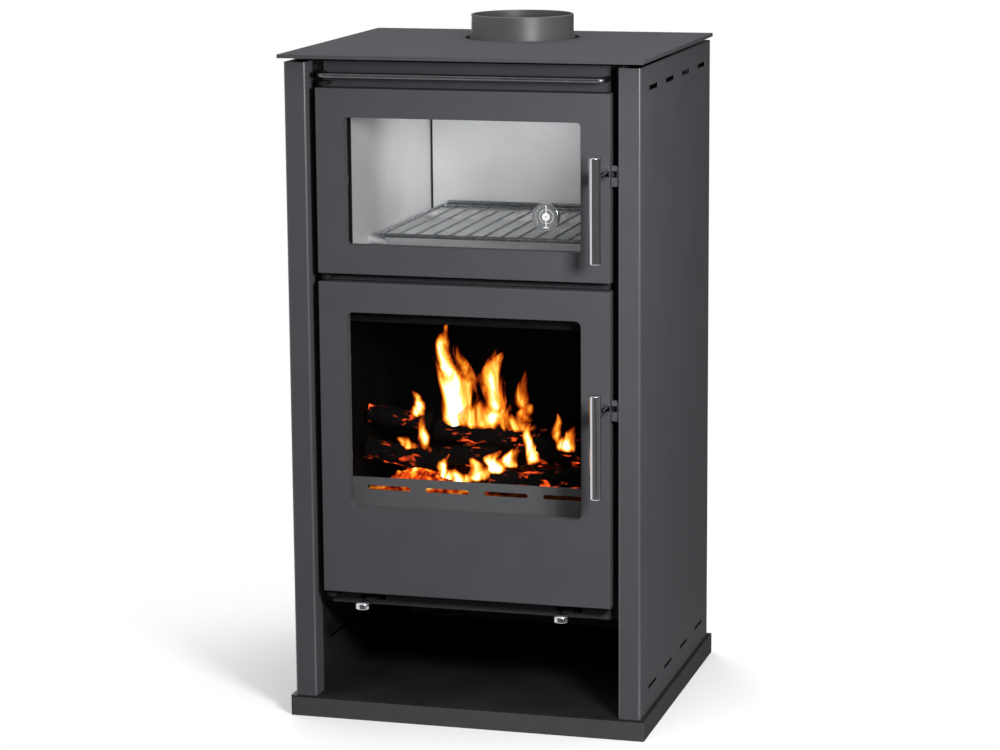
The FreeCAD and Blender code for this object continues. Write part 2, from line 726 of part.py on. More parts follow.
def lug_levels():
    gap = DOOR_GAP - LUG_T
    return [FIRE_Z0 - gap / 2 - LUG_T, FIRE_Z1 + gap / 2, OVEN_Z1 + gap / 2]


def build_hinges():
    lugs = []
    x0 = HINGE_X - LUG_W / 2
    x1 = HINGE_X + LUG_W / 2
    y0 = HINGE_Y - LUG_OUT
    for z in lug_levels():
        lug = box(x0, x1, y0, CROSS_Y, z, z + LUG_T)
        lug = round_edges(lug, LUG_ROUND, V(0, 0, 1), [V(x0, y0, 0), V(x1, y0, 0)])
        lugs.append(lug.cut(rod_z(PIN_R, HINGE_X, HINGE_Y, z - 1, z + LUG_T + 1)))
    save("hinge_lugs", lugs)
    low, mid, high = lug_levels()
    reach = DOOR_SHEET + BUSH_L - PIN_SHORT
    pins = [
        rod_z(PIN_R, HINGE_X, HINGE_Y, low, FIRE_Z0 + reach),
        rod_z(PIN_R, HINGE_X, HINGE_Y, FIRE_Z1 - reach, OVEN_Z0 + reach),
        rod_z(PIN_R, HINGE_X, HINGE_Y, OVEN_Z1 - reach, high + LUG_T),
    ]
    save("hinge_pins", pins)


def build_keepers():
    keepers = []
    x0 = DOOR_HALF + FREE
    x1 = POST_IN - KEEPER_T
    y0 = DOOR_Y + KEEPER_BACK
    y1 = TONGUE_Y - FREE
    half = KEEPER_SLOT / 2
    for z in (OVEN_PIVOT, FIRE_PIVOT):
        low = z - KEEPER_DOWN
        high = z + KEEPER_UP
        base = box(x1, POST_IN, y0, y1, low, high)
        upper = box(x0, x1, y0, y1, z + half, high)
        lower = box(x0, x1, y0, y1, low, z - half)
        keeper = fuse([base, upper, lower])
        keepers.append(round_edges(keeper, KEEPER_ROUND, V(0, 1, 0), [V(POST_IN, 0, high)]))
    save("latch_keepers", keepers)


def clip_places(z0, z1, rows):
    cx = WINDOW_HALF + GLASS_LAP
    spots = []
    for x in (CLIP_IN - WINDOW_HALF, WINDOW_HALF - CLIP_IN):
        spots.append((x, z0 - GLASS_LAP, 0, -1))
        spots.append((x, z1 + GLASS_LAP, 0, 1))
    for k in range(rows):
        z = z0 + (z1 - z0) * (k + 0.5) / rows
        spots.append((-cx, z, -1, 0))
        spots.append((cx, z, 1, 0))
    return spots


# one door: folded skin with a window, inner plate, glass, tape, clips, seal and bushes
def build_door(name, z0, z1, w0, w1, window_r, pivot, rows, dial):
    a = DOOR_HALF
    t = DOOR_SHEET
    w = WINDOW_HALF
    skin = box(-a, a, DOOR_Y, DOOR_BACK, z0, z1)
    rim = edges_at(skin, V(1, 0, 0), [V(0, DOOR_Y, z0), V(0, DOOR_Y, z1)])
    rim = rim + edges_at(skin, V(0, 0, 1), [V(-a, DOOR_Y, 0), V(a, DOOR_Y, 0)])
    skin = skin.makeFillet(DOOR_EDGE_R, rim)
    skin = skin.cut(box(-a + t, a - t, SKIN_Y, DOOR_BACK + 1, z0 + t, z1 - t))
    v = w + REVEAL
    reveal = plate(-v, v, w0 - REVEAL, w1 + REVEAL, SKIN_Y - 1, TAPE_Y, window_r + REVEAL)
    skin = fuse([skin, reveal])
    tools = [plate(-w, w, w0, w1, DOOR_Y - 1, DOOR_BACK, window_r)]
    tools.append(rod_z(PIN_R + RUN, HINGE_X, HINGE_Y, z0 - 1, z0 + t + 1))
    tools.append(rod_z(PIN_R + RUN, HINGE_X, HINGE_Y, z1 - t - 1, z1 + 1))
    tools.append(rod_y(SPINDLE_R + RUN, HANDLE_X, DOOR_Y - 1, SKIN_Y + 1, pivot))
    swing = TONGUE_L + FREE
    y_slot = (TONGUE_Y - 1, TONGUE_Y + TONGUE_T + 1)
    tools.append(box(a - t - 1, a + 1, y_slot[0], y_slot[1], pivot - swing, pivot + TONGUE_HALF + FREE))
    save(name + "_door_panel", cut(skin, tools))

    gx = w + GLASS_LAP
    g0 = w0 - GLASS_LAP
    g1 = w1 + GLASS_LAP
    edge = GLASS_PLAY
    liner = box(-a + t, a - t, LINER_Y, DOOR_BACK, z0 + t, z1 - t)
    liner_tools = [plate(-gx - edge, gx + edge, g0 - edge, g1 + edge, LINER_Y - 1, DOOR_BACK + 1)]
    glass = plate(-gx, gx, g0, g1, GLASS_Y, DOOR_BACK, GLASS_CORNER)
    if dial:
        glass = glass.cut(rod_y(STEM_R + SLIDE, DIAL_X, GLASS_Y - 1, DOOR_BACK + 1, DIAL_Z))
    save(name + "_glass", glass)
    save(name + "_glass_gasket", ring(-gx, gx, g0, g1, GLASS_LAP, TAPE_Y, GLASS_Y, GLASS_CORNER))

    clips = []
    screws = []
    for x, z, dx, dz in clip_places(w0, w1, rows):
        in_l = GLASS_LAP - CLIP_SHORT
        out_l = edge + CLIP_FOOT
        x0 = x - (CLIP_HALF if dx == 0 else (in_l if dx > 0 else out_l))
        x1 = x + (CLIP_HALF if dx == 0 else (out_l if dx > 0 else in_l))
        c0 = z - (CLIP_HALF if dz == 0 else (in_l if dz > 0 else out_l))
        c1 = z + (CLIP_HALF if dz == 0 else (out_l if dz > 0 else in_l))
        sx = x + dx * (edge + CLIP_FOOT / 2)
        sz = z + dz * (edge + CLIP_FOOT / 2)
        bore = rod_y(SCREW_R, sx, LINER_Y - SCREW_TIP, CLIP_Y + 1, sz)
        clips.append(plate(x0, x1, c0, c1, DOOR_BACK, CLIP_Y, CLIP_CORNER).cut(bore))
        liner_tools.append(bore)
        head = rod_y(SCREW_HEAD_R, sx, CLIP_Y, CLIP_Y + SCREW_HEAD_H, sz)
        screws.append(fuse([head, rod_y(SCREW_R, sx, LINER_Y - SCREW_TIP, CLIP_Y, sz)]))
    save(name + "_glass_clips", clips)
    save(name + "_glass_screws", screws)
    save(name + "_door_liner", cut(liner, liner_tools))

    i = SEAL_INSET
    seal = ring(-a + i, a - i, z0 + i, z1 - i, SEAL_W, DOOR_BACK, FRAME_Y, SEAL_CORNER)
    save(name + "_door_seal", seal)

    bushes = []
    for b0 in (z0 + t, z1 - t - BUSH_L):
        tube = rod_z(PIN_R + BUSH_WALL, HINGE_X, HINGE_Y, b0, b0 + BUSH_L)
        bushes.append(tube.cut(rod_z(PIN_R + RUN, HINGE_X, HINGE_Y, b0 - 1, b0 + BUSH_L + 1)))
    tube = rod_y(SPINDLE_R + BUSH_WALL, HANDLE_X, SKIN_Y, TONGUE_Y - SLIDE, pivot)
    bushes.append(tube.cut(rod_y(SPINDLE_R + RUN, HANDLE_X, SKIN_Y - 1, TONGUE_Y, pivot)))
    save(name + "_door_bushes", bushes)


# handle bar, its spindle through the door, and the latch tongue behind the skin
def build_handle(name, pivot):
    bar = rod_z(HANDLE_R, HANDLE_X, HANDLE_Y, pivot - HANDLE_DOWN, pivot + HANDLE_UP)
    ends = [e for e in bar.Edges if e.BoundBox.ZLength < 0.01]
    save(name + "_handle_bar", bar.makeFillet(HANDLE_END_R, ends))
    boss = rod_y(BOSS_R, HANDLE_X, HANDLE_Y, DOOR_Y - SLIDE, pivot)
    shaft = rod_y(SPINDLE_R, HANDLE_X, HANDLE_Y, TONGUE_Y + TONGUE_T, pivot)
    spindle = fuse([boss, shaft])
    far = 2 * BOSS_R
    x = HANDLE_X
    y = HANDLE_Y
    grip = rod_z(HANDLE_R, x, y, pivot - far, pivot + far)
    front = box(x - far, x + far, y - far, y + SADDLE, pivot - far, pivot + far)
    save(name + "_handle_spindle", spindle.cut(grip).cut(front))
    y0 = TONGUE_Y
    y1 = TONGUE_Y + TONGUE_T
    tip = TONGUE_L - TONGUE_HALF
    tongue = fuse([
        rod_y(TONGUE_HALF, HANDLE_X, y0, y1, pivot),
        box(HANDLE_X, HANDLE_X + tip, y0, y1, pivot - TONGUE_HALF, pivot + TONGUE_HALF),
        rod_y(TONGUE_HALF, HANDLE_X + tip, y0, y1, pivot),
    ])
    save(name + "_latch_tongue", tongue.cut(rod_y(SPINDLE_R, HANDLE_X, y0 - 1, y1 + 1, pivot)))


def build_thermometer():
    y0 = GLASS_Y - DIAL_DEEP
    back = GLASS_Y - DIAL_WALL
    case = rod_y(DIAL_R, DIAL_X, y0, GLASS_Y, DIAL_Z)
    lip = [e for e in case.Edges if e.BoundBox.YLength < 0.01 and abs(e.BoundBox.YMin - y0) < 0.01]
    case = case.makeFillet(DIAL_EDGE_R, lip)
    case = case.cut(rod_y(DIAL_R - DIAL_WALL, DIAL_X, y0 - 1, back, DIAL_Z))
    case = case.cut(rod_y(STEM_R, DIAL_X, back - 1, GLASS_Y + 1, DIAL_Z))
    save("thermometer_case", case)
    face = rod_y(DIAL_R - DIAL_WALL, DIAL_X, back - FACE_T, back, DIAL_Z)
    save("thermometer_dial", face.cut(rod_y(AXLE_R + SLIDE, DIAL_X, back - 1, back + 1, DIAL_Z)))
    lens_y = y0 + LENS_IN
    save("thermometer_lens", rod_y(DIAL_R - DIAL_WALL, DIAL_X, lens_y, lens_y + LENS_T, DIAL_Z))
    cap = back - AXLE_L
    stem = fuse([
        rod_y(AXLE_R, DIAL_X, cap, back, DIAL_Z),
        rod_y(STEM_R, DIAL_X, back, DOOR_BACK, DIAL_Z),
        rod_y(STEM_R + NUT_W, DIAL_X, DOOR_BACK, DOOR_BACK + NUT_T, DIAL_Z),
    ])
    save("thermometer_stem", stem)
    hub = rod_y(HUB_R, DIAL_X, cap, cap + HUB_T, DIAL_Z)
    n0 = cap + HUB_T
    n1 = n0 + NEEDLE_T
    end = NEEDLE_L + NEEDLE_TIP
    hand = box(DIAL_X - NEEDLE_HALF, DIAL_X + NEEDLE_HALF, n0, n1, DIAL_Z - NEEDLE_L, DIAL_Z + NEEDLE_L)
    foot = box(DIAL_X - NEEDLE_FOOT, DIAL_X + NEEDLE_FOOT, n0, n1, DIAL_Z - end, DIAL_Z - NEEDLE_L)
    head = box(DIAL_X - NEEDLE_HEAD, DIAL_X + NEEDLE_HEAD, n0, n1, DIAL_Z + NEEDLE_L, DIAL_Z + end)
    needle = fuse([hub, hand, foot, head])
    save("thermometer_needle", needle.cut(rod_y(AXLE_R + RUN, DIAL_X, cap - 1, n1 + 1, DIAL_Z)))


# air slide: shutter plate over its inlet, a lever through the frame slot, and a flat knob
def build_air(name, s):
    x = s * AIR_X
    z0 = FLOOR_Z1 + SLIDE
    low = AIR_Z - LEVER_T / 2
    high = AIR_Z + LEVER_T / 2
    half = LEVER_W / 2
    knob_y = FRONT - KNOB_OUT
    wide = SHUTTER_HALF
    shutter = box(x - wide, x + wide, SHUTTER_Y, SHUTTER_Y + SHUTTER_D, z0, z0 + SHEET)
    riser = box(x - half, x + half, SHUTTER_Y, SHUTTER_Y + RISER_T, z0, high)
    lever = box(x - half, x + half, knob_y, SHUTTER_Y + RISER_T, low, high)
    save(name + "_air_slide", fuse([shutter, riser, lever]))
    knob = rod_z(KNOB_R, x, knob_y, AIR_Z - KNOB_H / 2, AIR_Z + KNOB_H / 2)
    rims = [e for e in knob.Edges if e.BoundBox.ZLength < 0.01]
    upper = [e for e in rims if e.BoundBox.ZMin > AIR_Z]
    knob = knob.makeFillet(KNOB_DOME, upper)
    rims = [e for e in knob.Edges if e.BoundBox.ZLength < 0.01]
    lower = [e for e in rims if e.BoundBox.ZMin < AIR_Z - KNOB_H / 2 + 0.01]
    knob = knob.makeFillet(KNOB_EDGE, lower)
    save(name + "_air_knob", knob.cut(lever))


os.makedirs("parts", exist_ok=True)
build_plinth()
build_store_walls()
build_sides()
build_back()
build_front_frame()
build_top()
build_flue()
build_inner_body()
build_hearth()
build_ash_pan()
build_oven()
build_rack()
build_front_rail()
build_hinges()
build_keepers()
build_door("oven", OVEN_Z0, OVEN_Z1, OVEN_W0, OVEN_W1, OVEN_WINDOW_R, OVEN_PIVOT, 1, True)
build_door("firebox", FIRE_Z0, FIRE_Z1, FIRE_W0, FIRE_W1, FIRE_WINDOW_R, FIRE_PIVOT, 2, False)
build_handle("oven", OVEN_PIVOT)
build_handle("firebox", FIRE_PIVOT)
build_thermometer()
build_air("primary", -1)
build_air("secondary", 1)
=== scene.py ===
import json
import math
import random

import bmesh
import bpy
from mathutils import Matrix, Vector, noise


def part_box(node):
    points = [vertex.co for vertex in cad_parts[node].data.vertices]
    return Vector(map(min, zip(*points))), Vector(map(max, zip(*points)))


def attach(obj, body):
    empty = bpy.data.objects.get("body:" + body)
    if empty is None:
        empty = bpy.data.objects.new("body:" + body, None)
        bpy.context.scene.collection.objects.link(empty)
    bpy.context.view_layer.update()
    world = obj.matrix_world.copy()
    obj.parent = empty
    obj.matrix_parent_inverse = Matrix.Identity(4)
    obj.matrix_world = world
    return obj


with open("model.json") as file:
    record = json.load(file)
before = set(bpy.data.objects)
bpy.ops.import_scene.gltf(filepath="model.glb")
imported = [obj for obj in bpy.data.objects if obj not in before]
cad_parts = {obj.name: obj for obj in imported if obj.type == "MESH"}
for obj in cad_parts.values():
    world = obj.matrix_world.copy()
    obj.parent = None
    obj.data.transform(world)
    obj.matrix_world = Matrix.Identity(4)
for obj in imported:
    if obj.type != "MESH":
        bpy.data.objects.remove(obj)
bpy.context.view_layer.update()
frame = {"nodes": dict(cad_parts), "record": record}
nodes = frame["nodes"]
print("stage: frame loaded")

mm = 0.001
front = Vector((0, -1, 0))
up = Vector((0, 0, 1))


# an sRGB hex colour, turned to linear
def linear(code):
    channels = [int(code[i:i + 2], 16) / 255 for i in (1, 3, 5)]
    return [c / 12.92 if c <= 0.04045 else ((c + 0.055) / 1.055) ** 2.4 for c in channels] + [1.0]


# adds one shader node: settings are its own properties, values its sockets, links come from other nodes
# a Mix node's inputs are 0 for the share, 2 and 3 for numbers, 6 and 7 for colours
# its outputs are 0 for a number and 2 for a colour
def addNode(tree, kind, settings=None, values=None, links=None):
    made = tree.nodes.new(kind)
    for key, value in (settings or {}).items():
        setattr(made, key, value)
    for key, value in (values or {}).items():
        made.inputs[key].default_value = value
    for key, source in (links or {}).items():
        tree.links.new(source, made.inputs[key])
    return made


def startMaterial(name):
    material = bpy.data.materials.new(name)
    material.use_nodes = True
    material.node_tree.nodes.clear()
    return material, material.node_tree


def endMaterial(tree, values, links=None):
    surface = addNode(tree, "ShaderNodeBsdfPrincipled", values=values, links=links)
    addNode(tree, "ShaderNodeOutputMaterial", links={"Surface": surface.outputs["BSDF"]})


# a noise pattern whose grains are about grainMm across
def grain(tree, grainMm, detail=2.0, stretch=(1, 1, 1), swirl=0.0):
    place = addNode(tree, "ShaderNodeTexCoord")
    scaled = addNode(tree, "ShaderNodeVectorMath", {"operation": "MULTIPLY"}, {1: stretch},
                     {0: place.outputs["Object"]})
    return addNode(tree, "ShaderNodeTexNoise",
                   values={"Scale": 1 / (grainMm * mm), "Detail": detail, "Distortion": swirl},
                   links={"Vector": scaled.outputs["Vector"]})


# 1 along upright folds, where a surface faces neither the front nor the side squarely, and 0 on flat sheet
def folds(tree):
    turned = {"From Min": 0.08, "From Max": 0.3, "To Min": 0, "To Max": 1}
    place = addNode(tree, "ShaderNodeTexCoord")
    facing = addNode(tree, "ShaderNodeSeparateXYZ", links={"Vector": place.outputs["Normal"]})
    both = addNode(tree, "ShaderNodeMath", {"operation": "MULTIPLY"}, {},
                   {0: facing.outputs["X"], 1: facing.outputs["Y"]})
    size = addNode(tree, "ShaderNodeMath", {"operation": "ABSOLUTE"}, {}, {0: both.outputs["Value"]})
    fold = addNode(tree, "ShaderNodeMapRange", values=turned, links={"Value": size.outputs["Value"]})
    return fold.outputs["Result"]


# 1 above a height in metres, and 0 below it
def above(tree, height):
    place = addNode(tree, "ShaderNodeTexCoord")
    parts = addNode(tree, "ShaderNodeSeparateXYZ", links={"Vector": place.outputs["Object"]})
    over = addNode(tree, "ShaderNodeMath", {"operation": "GREATER_THAN"}, {1: height},
                   {0: parts.outputs["Z"]})
    return over.outputs["Value"]


# one plain finish: a colour that wanders between two tones, a roughness that wanders, and a fine relief
def finish(name, look):
    toneDetail = 3.0
    noiseSpan = {"From Min": 0.3, "From Max": 0.7}  # most of a noise pattern lies in here
    material, tree = startMaterial(name)
    tone = grain(tree, look["toneMm"], toneDetail)
    share, rough = [
        addNode(tree, "ShaderNodeMapRange", values={**noiseSpan, "To Min": low, "To Max": high},
                links={"Value": tone.outputs["Fac"]}).outputs["Result"]
        for low, high in ((0, 1), (look["smooth"], look["rough"]))]
    colour = addNode(tree, "ShaderNodeMix", {"data_type": "RGBA"},
                     {6: linear(look["dark"]), 7: linear(look["light"])}, {0: share}).outputs[2]
    relief = grain(tree, look["reliefMm"])
    bump = addNode(tree, "ShaderNodeBump",
                   values={"Strength": look["relief"], "Distance": look["deepMm"] * mm},
                   links={"Height": relief.outputs["Fac"]})
    if "soot" in look:
        soot = look["soot"]
        colour = addNode(tree, "ShaderNodeMix", {"data_type": "RGBA"}, {7: linear(soot["colour"])},
                         {0: above(tree, soot["above"]), 6: colour}).outputs[2]
    links = {"Base Color": colour, "Roughness": rough, "Normal": bump.outputs["Normal"]}
    if "burnish" in look:
        burnish = look["burnish"]
        fold = folds(tree)
        links["Specular IOR Level"] = addNode(
            tree, "ShaderNodeMix", {"data_type": "FLOAT"},
            {2: look["shine"], 3: burnish["shine"]}, {0: fold}).outputs[0]
        links["Roughness"] = addNode(
            tree, "ShaderNodeMix", {"data_type": "FLOAT"},
            {3: burnish["rough"]}, {0: fold, 2: rough}).outputs[0]
    endMaterial(tree, {"Metallic": look.get("metallic", 0.0),
                       "Specular IOR Level": look.get("shine", 0.5)}, links)
    material.diffuse_color = linear(look["light"])
    return material


# sprayed heat-proof paint: an even mid grey with a faint grit that softens every reflection
sprayedGrey = {
    "dark": "#4f5053", "light": "#525356", "toneMm": 70, "reliefMm": 0.7, "relief": 0.12, "deepMm": 0.05,
    "smooth": 0.74, "rough": 0.8, "shine": 0.07}
greyPaint = finish("sprayedGreyStovePaint", sprayedGrey)
# the same paint on the folded sides: burnished along the folds, which catch a line of light
foldedPaint = finish("sprayedGreyPaintOnFolds", {**sprayedGrey, "burnish": {"shine": 1.0, "rough": 0.34}})
# the collar's paint is baked on and smoother: one soft upright band of light
collarPaint = finish("stovedGreyCollarPaint", {
    "dark": "#4e4f51", "light": "#525355", "toneMm": 40, "reliefMm": 0.7, "relief": 0.1, "deepMm": 0.05,
    "smooth": 0.42, "rough": 0.48, "shine": 0.6})
# the guard's paint: a paler copy of the grey, painted light that lifts it inside the firebox
paintedLightGuardGrey = finish("paleGreyGuardPaintAsPaintedLight", {
    "dark": "#66676a", "light": "#6b6c6e", "toneMm": 30, "reliefMm": 0.7, "relief": 0.12, "deepMm": 0.05,
    "smooth": 0.7, "rough": 0.78, "shine": 0.1})
# the rails on the body's front: the same paint, a little darker as painted shade for their recess
paintedShadeRailGrey = finish("greyRailPaintDarkenedAsPaintedShade", {
    "dark": "#424346", "light": "#454649", "toneMm": 50, "reliefMm": 0.7, "relief": 0.12, "deepMm": 0.05,
    "smooth": 0.76, "rough": 0.82, "shine": 0.05})
# the plinth's paint is scuffed quite flat
plinthPaint = finish("scuffedGreyPlinthPaint", {
    "dark": "#4c4d4f", "light": "#505153", "toneMm": 40, "reliefMm": 0.8, "relief": 0.14, "deepMm": 0.05,
    "smooth": 0.92, "rough": 0.97, "shine": 0.0})
# the same paint in black on inner sheet: dull, nearly no reflection
blackPaint = finish("sprayedBlackStovePaint", {
    "dark": "#1f1f20", "light": "#272728", "toneMm": 60, "reliefMm": 0.8, "relief": 0.12, "deepMm": 0.05,
    "smooth": 0.58, "rough": 0.68, "shine": 0.1})
# the front plate behind the doors: a deeper black, painted shade for the deep gaps beside the doors
paintedShadeDeepBlack = finish("blackPaintDeepenedAsPaintedShade", {
    "dark": "#141415", "light": "#19191a", "toneMm": 60, "reliefMm": 0.8, "relief": 0.12, "deepMm": 0.05,
    "smooth": 0.6, "rough": 0.7, "shine": 0.1})
# a dark metal with soft reflections: dark screw heads, and painted shade on the latch tongues in the gaps
darkMetalAndPaintedShade = finish("darkSteelAndPaintedShade", {
    "dark": "#4c4d4f", "light": "#565759", "toneMm": 8, "reliefMm": 0.5, "relief": 0.05, "deepMm": 0.02,
    "smooth": 0.4, "rough": 0.5, "metallic": 1.0})
# electroplated zinc: pale blue grey, a little cloudy
zincPlate = finish("platedZincSteel", {
    "dark": "#a9abae", "light": "#b9bbbd", "toneMm": 9, "reliefMm": 0.4, "relief": 0.05, "deepMm": 0.02,
    "smooth": 0.28, "rough": 0.42, "metallic": 1.0})
# polished chrome: a clear mirror, very slightly cool
chromePlate = finish("polishedChromePlate", {
    "dark": "#c9cbce", "light": "#cfd1d4", "toneMm": 30, "reliefMm": 3, "relief": 0.01, "deepMm": 0.01,
    "smooth": 0.07, "rough": 0.1, "metallic": 1.0})
# chrome on drawn wire: duller than the handles, and darker as painted shade for the dark it mirrors
paintedShadeWireChrome = finish("chromedWireDarkenedAsPaintedShade", {
    "dark": "#85878a", "light": "#949698", "toneMm": 14, "reliefMm": 2, "relief": 0.03, "deepMm": 0.02,
    "smooth": 0.22, "rough": 0.3, "metallic": 1.0})
# the thin rail under the top plate: duller chrome, darkened as painted shade under the plate's overhang
paintedShadeRodChrome = finish("chromeRodDarkenedAsPaintedShade", {
    "dark": "#66676a", "light": "#717275", "toneMm": 14, "reliefMm": 2, "relief": 0.02, "deepMm": 0.02,
    "smooth": 0.32, "rough": 0.4, "metallic": 1.0})
# bright rolled stainless sheet: pale, soft wide reflections, and sooty on top where the smoke passes
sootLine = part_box("oven_shell")[1].z - 0.5 * mm
ovenSteel = finish("rolledStainlessSheet", {
    "dark": "#c9cacb", "light": "#d3d4d5", "toneMm": 60, "reliefMm": 0.5, "relief": 0.04, "deepMm": 0.02,
    "smooth": 0.44, "rough": 0.52, "metallic": 0.25, "soot": {"colour": "#0b0a0a", "above": sootLine}})
# braided glass-fibre rope, dyed dark: matt, with a coarse weave
rope = finish("braidedGlassFibre", {
    "dark": "#1d1d1d", "light": "#383837", "toneMm": 3, "reliefMm": 1.6, "relief": 0.7, "deepMm": 0.8,
    "smooth": 0.85, "rough": 0.95})
# pressed vermiculite board, blackened by soot: crumbly and nearly without light
brick = finish("pressedSootyVermiculite", {
    "dark": "#040404", "light": "#090807", "toneMm": 45, "reliefMm": 2.2, "relief": 0.45, "deepMm": 0.5,
    "smooth": 0.85, "rough": 0.97, "shine": 0.05})
# sand-cast iron: dark, grainy, barely shiny
castIron = finish("sandCastIron", {
    "dark": "#161616", "light": "#232323", "toneMm": 15, "reliefMm": 1.4, "relief": 0.4, "deepMm": 0.3,
    "smooth": 0.55, "rough": 0.7})
# white stoved enamel on the needle and the printed marks: clean and softly shiny
whiteEnamel = finish("stovedWhiteEnamel", {
    "dark": "#f0f0ec", "light": "#f6f6f3", "toneMm": 5, "reliefMm": 0.5, "relief": 0.02, "deepMm": 0.01,
    "smooth": 0.3, "rough": 0.36})


# a clear pane: a thin tint that one sees through, and a sharp glint
def clearSheet(name, colour, alpha):
    polish = 0.03
    material, tree = startMaterial(name)
    endMaterial(tree, {"Base Color": linear(colour), "Alpha": alpha, "Roughness": polish})
    return material


doorGlass = clearSheet("drawnCeramicGlass", "#1a1b1c", 0.07)  # a faint grey
smokyGlass = clearSheet("sootyCeramicGlass", "#050505", 0.06)  # a trace of soot
dialGlass = clearSheet("mouldedClearDial", "#8b8d8f", 0.3)  # pale and half clear
lensGlass = clearSheet("groundLensGlass", "#dfe3e4", 0.06)  # almost unseen

slotFinish = {
    "grey_stove_paint": greyPaint, "black_stove_paint": blackPaint, "zinc_plated_steel": zincPlate,
    "chromed_steel": chromePlate, "oven_steel": ovenSteel, "clear_glass": doorGlass,
    "glass_fibre_rope": rope, "firebrick": brick, "cast_iron": castIron, "dial_face": dialGlass,
    "needle_white": whiteEnamel}
ownFinish = {  # nodes whose finish differs from the rest of their slot
    "thermometer_lens": lensGlass, "firebox_glass": smokyGlass, "oven_rack": paintedShadeWireChrome,
    "front_rail": paintedShadeRodChrome, "left_side_panel": foldedPaint, "right_side_panel": foldedPaint,
    "flue_collar": collarPaint, "log_guard": paintedLightGuardGrey, "cross_rails": paintedShadeRailGrey,
    "plinth_tray": plinthPaint, "body_front": paintedShadeDeepBlack, "casing_screws": darkMetalAndPaintedShade,
    "oven_latch_tongue": darkMetalAndPaintedShade, "firebox_latch_tongue": darkMetalAndPaintedShade}
for part in frame["record"]["subparts"]:
    name = part["node"]
    mesh = nodes[name].data
    mesh.materials.clear()
    mesh.materials.append(ownFinish.get(name, slotFinish[part["material_slot"]]))
print("stage: finishes")


# facing is the way that an open sheet looks, and a closed piece has none
def makePiece(name, bm, material, body="cabinet", smooth=True, facing=None):
    touching = 0.001 * mm
    bmesh.ops.remove_doubles(bm, verts=bm.verts, dist=touching)
    if facing is None:
        bmesh.ops.recalc_face_normals(bm, faces=bm.faces)
    else:
        bm.normal_update()
        bmesh.ops.reverse_faces(bm, faces=[face for face in bm.faces if face.normal.dot(facing) < 0])
    for face in bm.faces:
        face.smooth = smooth
    mesh = bpy.data.meshes.new(name)
    bm.to_mesh(mesh)
    bm.free()
    mesh.materials.append(material)
    piece = bpy.data.objects.new(name, mesh)
    bpy.context.scene.collection.objects.link(piece)
    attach(piece, body)


# printed marks on the thermometer's dial: ticks of two lengths and a ring
def dialMarks():
    dial = {"ticks": 27, "sweep": 130, "outer": 16.6, "short": 1.3, "long": 2.6, "wide": 0.45, "lift": 0.12,
            "ring": (9.2, 9.8), "ringSteps": 72}
    low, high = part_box("thermometer_dial")
    centre = (low + high) / 2
    centre.y = low.y - dial["lift"] * mm
    face = Matrix.Translation(centre) @ Matrix.Diagonal((mm, mm, mm, 1))
    upright = Matrix.Rotation(math.pi / 2, 4, "X")
    bm = bmesh.new()
    for k in range(dial["ticks"]):
        angle = math.radians(-dial["sweep"] + 2 * dial["sweep"] * k / (dial["ticks"] - 1))
        length = dial["long"] if k % 2 == 1 else dial["short"]
        turn = Matrix.Rotation(angle, 4, "Y")
        out = Matrix.Translation((0, 0, dial["outer"] - length / 2))
        size = Matrix.Diagonal((dial["wide"], 1, length, 1))
        bmesh.ops.create_grid(bm, x_segments=1, y_segments=1, size=0.5,
                              matrix=face @ turn @ out @ size @ upright)
    rim = [bm.verts.new(face @ Vector((0, 0, radius))) for radius in dial["ring"]]
    bmesh.ops.spin(bm, geom=rim + [bm.edges.new(rim)], cent=centre, axis=(0, 1, 0), angle=2 * math.pi,
                   steps=dial["ringSteps"], use_merge=True)
    makePiece("dialMarks", bm, whiteEnamel, "oven_door", smooth=False, facing=front)


dialMarks()


# dark sealed seams in the oven's two rear corners
def ovenSeams():
    seam = {"wide": 3.2, "proud": 0.4, "wall": 2.0}
    low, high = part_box("oven_shell")
    wide, proud, wall = [seam[key] * mm for key in ("wide", "proud", "wall")]
    bm = bmesh.new()
    for side in (-1, 1):
        at = Matrix.Translation((side * (high.x - wall - wide / 2), high.y - wall - proud / 2,
                                 (low.z + high.z) / 2))
        size = Matrix.Diagonal((wide, proud, high.z - low.z - 2 * wall, 1))
        bmesh.ops.create_cube(bm, size=1, matrix=at @ size)
    makePiece("ovenSeams", bm, blackPaint, "cabinet", smooth=False)


ovenSeams()


